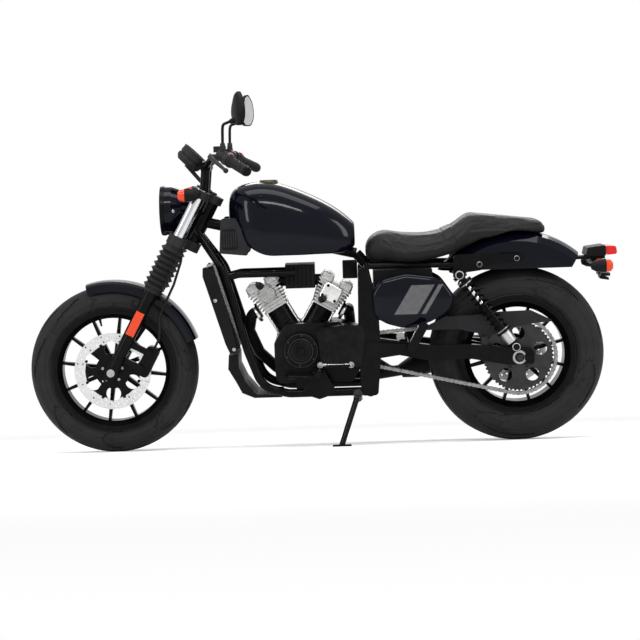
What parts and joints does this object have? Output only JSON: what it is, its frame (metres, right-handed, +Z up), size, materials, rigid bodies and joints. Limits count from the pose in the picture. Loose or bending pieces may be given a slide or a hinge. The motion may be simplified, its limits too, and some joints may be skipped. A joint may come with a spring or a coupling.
{
  "type": "cruiser motorcycle",
  "caption": "Black middleweight cruiser motorcycle with an open V-twin engine, low stepped seat, teardrop tank, cast wheels and chain drive, parked leaning on its side stand.",
  "frame": {"origin": "on the ground, below the middle of the parked motorcycle's bounding box", "axes": "+X to the rear along the wheels' line, -Y to the rider's left and the side stand, +Z up from the ground"},
  "size_m": [2.0862, 0.7543, 1.281],
  "materials": {
    "paint": "deep black gloss with a navy tint",
    "frame_black": "satin black powder coat",
    "wheel_black": "satin black",
    "engine_black": "satin black",
    "cast_alloy": "bead-blasted casting",
    "steel": "machined",
    "disc_steel": "ground",
    "chain_steel": "oiled",
    "chrome": "polished",
    "exhaust_black": "heat-proof satin black",
    "black_plastic": "fine grain",
    "grey_plastic": "fine grain",
    "rubber": "matt",
    "tyre": "matt",
    "seat_vinyl": "black grained vinyl",
    "clear_lens": "clear",
    "red_lens": "clear red",
    "amber_lens": "clear amber"
  },
  "bodies": {
    "chassis": {"frame": "frame_black", "swingarm": "frame_black", "fuel_tank": "paint", "fuel_cap": "steel", "seat": "seat_vinyl", "rear_fender": "paint", "fender_struts": "frame_black", "tail_bracket": "black_plastic", "tail_lamp_housing": "black_plastic", "tail_lamp_lens": "red_lens", "rear_indicators": "black_plastic", "rear_indicator_lenses": "amber_lens", "crankcase": "engine_black", "engine_covers": "engine_black", "cylinder_barrels": "engine_black", "cylinder_heads": "cast_alloy", "intake_box": "black_plastic", "radiator": "engine_black", "radiator_shroud": "black_plastic", "lower_fairing": "black_plastic", "exhaust": "exhaust_black", "battery_box": "black_plastic", "side_covers": "paint", "vent_covers": "grey_plastic", "shocks": "frame_black", "shock_springs": "frame_black", "chain": "chain_steel", "chain_guard": "grey_plastic", "rear_caliper": "frame_black", "foot_pegs": "frame_black", "foot_pedals": "frame_black", "passenger_pegs": "frame_black"},
    "steering": {"steering_clamps": "frame_black", "fork_tubes": "chrome", "fork_sliders": "frame_black", "fork_gaiters": "rubber", "fork_reflectors": "amber_lens", "front_axle": "steel", "front_fender": "paint", "front_caliper": "frame_black", "brake_hose": "rubber", "headlight_shell": "paint", "headlight_lens": "clear_lens", "instrument": "black_plastic", "front_indicators": "black_plastic", "front_indicator_lenses": "amber_lens", "handlebar": "frame_black", "grips": "rubber", "switchgear": "black_plastic", "mirrors": "black_plastic"},
    "front_wheel": {"front_wheel": "wheel_black", "front_tyre": "tyre", "front_disc": "disc_steel"},
    "rear_wheel": {"rear_wheel": "wheel_black", "rear_tyre": "tyre", "rear_sprocket": "chain_steel", "rear_disc": "disc_steel"},
    "side_stand": {"side_stand": "frame_black"}
  },
  "joints": [
    {"name": "steering_turn", "type": "hinge", "parent": "chassis", "child": "steering", "pos_m": [-0.70456, 0.10035, 0.27483], "axis": [0.4772, -0.1223, 0.8703], "range_deg": [-36, 36]},
    {"name": "front_wheel_spin", "type": "hinge", "parent": "steering", "child": "front_wheel", "pos_m": [-0.74411, 0.09736, 0.29609], "axis": [0, 0.9903, 0.1392], "continuous": true},
    {"name": "rear_wheel_spin", "type": "hinge", "parent": "chassis", "child": "rear_wheel", "pos_m": [0.68589, 0.09576, 0.30748], "axis": [0, 0.9903, 0.1392], "continuous": true},
    {"name": "side_stand_fold", "type": "hinge", "parent": "chassis", "child": "side_stand", "pos_m": [0.11789, -0.0473, 0.17579], "axis": [0, -0.9384, 0.3455], "range_deg": [0, 108.4]}
  ]
}
